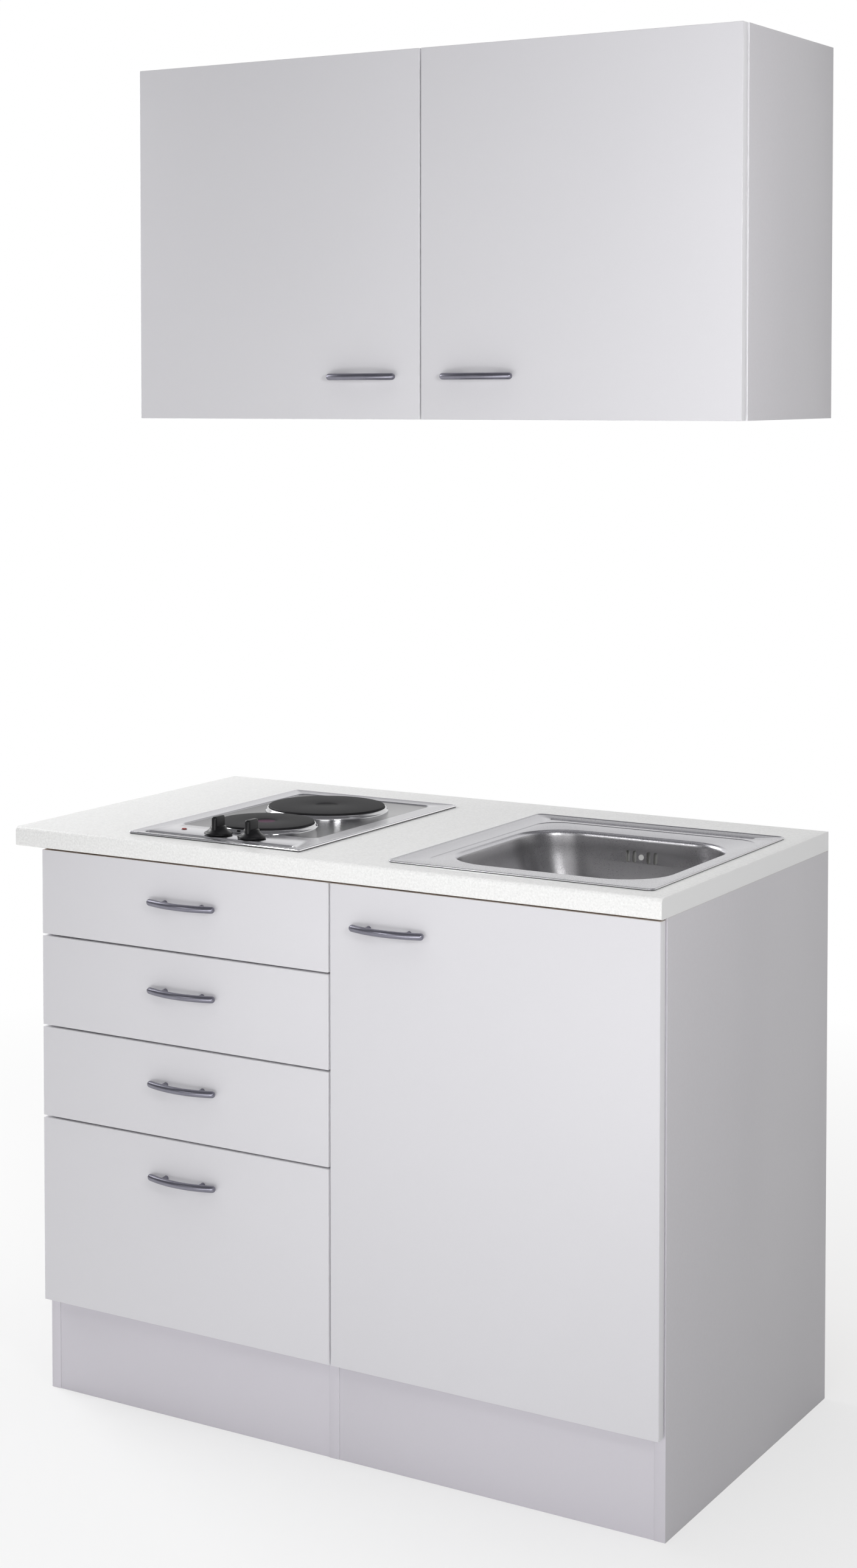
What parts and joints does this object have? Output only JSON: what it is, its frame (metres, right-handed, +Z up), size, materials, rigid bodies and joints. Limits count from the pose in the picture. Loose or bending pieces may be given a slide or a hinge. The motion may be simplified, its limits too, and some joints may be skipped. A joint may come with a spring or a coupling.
{
  "type": "kitchenette unit with sink and hob",
  "caption": "Kitchenette: floor unit with drawers, sink cupboard, worktop with inset sink and electric hob, and a wall cabinet with doors.",
  "frame": {"origin": "on the floor, in the middle of the outer box: halfway between the ends of the worktop and halfway between the handles and the rear edges of the side panels", "axes": "+X to the right as seen from the front, +Y to the back wall, +Z up"},
  "size_m": [1.048, 0.624, 2],
  "materials": {
    "front_board": "melamine, fine satin",
    "panel_board": "melamine, matt",
    "inner_board": "melamine, matt",
    "back_panel": "painted fibreboard",
    "worktop": "laminate, satin, finely speckled",
    "drawer_board": "melamine, matt",
    "handle_metal": "satin dark metal",
    "hinge_steel": "nickel plated",
    "hob_steel": "fine satin",
    "sink_steel": "satin",
    "housing_steel": "plain sheet",
    "collar_steel": "polished",
    "hotplate": "black coated",
    "knob_plastic": "black, satin gloss",
    "lamp_plastic": "clear red",
    "black_plastic": "matt black",
    "white_plastic": "matt white"
  },
  "bodies": {
    "cabinet": {"base_side_left": "panel_board", "base_side_right": "panel_board", "base_partition": "inner_board", "base_bottom_left": "inner_board", "base_bottom_right": "inner_board", "plinths": "panel_board", "base_back_left": "back_panel", "base_back_right": "back_panel", "top_rails": "inner_board", "worktop": "worktop", "wall_side_left": "panel_board", "wall_side_right": "panel_board", "wall_top": "inner_board", "wall_bottom": "inner_board", "wall_back": "back_panel", "wall_shelf": "inner_board", "shelf_pins": "hinge_steel", "wall_hanging_rail": "inner_board", "wall_hinge_arms": "hinge_steel", "sink_hinge_arms": "hinge_steel", "guides_left": "white_plastic", "guides_right": "white_plastic", "sink": "sink_steel", "strainer_body": "sink_steel", "overflow_duct": "white_plastic", "bottle_trap": "white_plastic", "waste_pipe": "white_plastic", "hob_top": "hob_steel", "hob_body": "housing_steel", "hotplate_front": "hotplate", "hotplate_rear": "hotplate", "hotplate_collars": "collar_steel", "hob_switches": "white_plastic", "pilot_lamp": "lamp_plastic", "hob_terminal": "black_plastic", "fixing_clips": "housing_steel"},
    "wall_door_left": {"wall_door_left": "front_board", "wall_door_left_handle": "handle_metal", "wall_door_left_cups": "hinge_steel"},
    "wall_door_right": {"wall_door_right": "front_board", "wall_door_right_handle": "handle_metal", "wall_door_right_cups": "hinge_steel"},
    "sink_door": {"sink_door": "front_board", "sink_door_handle": "handle_metal", "sink_door_cups": "hinge_steel"},
    "drawer1": {"drawer1_front": "front_board", "drawer1_box": "drawer_board", "drawer1_handle": "handle_metal"},
    "drawer2": {"drawer2_front": "front_board", "drawer2_box": "drawer_board", "drawer2_handle": "handle_metal"},
    "drawer3": {"drawer3_front": "front_board", "drawer3_box": "drawer_board", "drawer3_handle": "handle_metal"},
    "drawer4": {"drawer4_front": "front_board", "drawer4_box": "drawer_board", "drawer4_handle": "handle_metal"},
    "knob_front": {"knob_front": "knob_plastic"},
    "knob_rear": {"knob_rear": "knob_plastic"},
    "strainer_basket": {"strainer_basket": "sink_steel"}
  },
  "joints": [
    {"name": "drawer1_slide", "type": "slide", "parent": "cabinet", "child": "drawer1", "axis": [0, -1, 0], "range_m": [0, 0.35]},
    {"name": "drawer2_slide", "type": "slide", "parent": "cabinet", "child": "drawer2", "axis": [0, -1, 0], "range_m": [0, 0.35]},
    {"name": "drawer3_slide", "type": "slide", "parent": "cabinet", "child": "drawer3", "axis": [0, -1, 0], "range_m": [0, 0.35]},
    {"name": "drawer4_slide", "type": "slide", "parent": "cabinet", "child": "drawer4", "axis": [0, -1, 0], "range_m": [0, 0.35]},
    {"name": "sink_door_hinge", "type": "hinge", "parent": "cabinet", "child": "sink_door", "pos_m": [0.5157, -0.2795, 0.48], "axis": [0, 0, 1], "range_deg": [0, 95]},
    {"name": "wall_door_right_hinge", "type": "hinge", "parent": "cabinet", "child": "wall_door_right", "pos_m": [0.5157, -0.0185, 1.73], "axis": [0, 0, 1], "range_deg": [0, 95]},
    {"name": "wall_door_left_hinge", "type": "hinge", "parent": "cabinet", "child": "wall_door_left", "pos_m": [-0.4677, -0.0185, 1.73], "axis": [0, 0, -1], "range_deg": [0, 95]},
    {"name": "knob_front_turn", "type": "hinge", "parent": "cabinet", "child": "knob_front", "pos_m": [-0.214, -0.205, 0.86], "axis": [0, 0, 1], "continuous": true},
    {"name": "knob_rear_turn", "type": "hinge", "parent": "cabinet", "child": "knob_rear", "pos_m": [-0.156, -0.205, 0.86], "axis": [0, 0, 1], "continuous": true},
    {"name": "strainer_lift", "type": "slide", "parent": "cabinet", "child": "strainer_basket", "axis": [0, 0, 1], "range_m": [0, 0.03]}
  ]
}
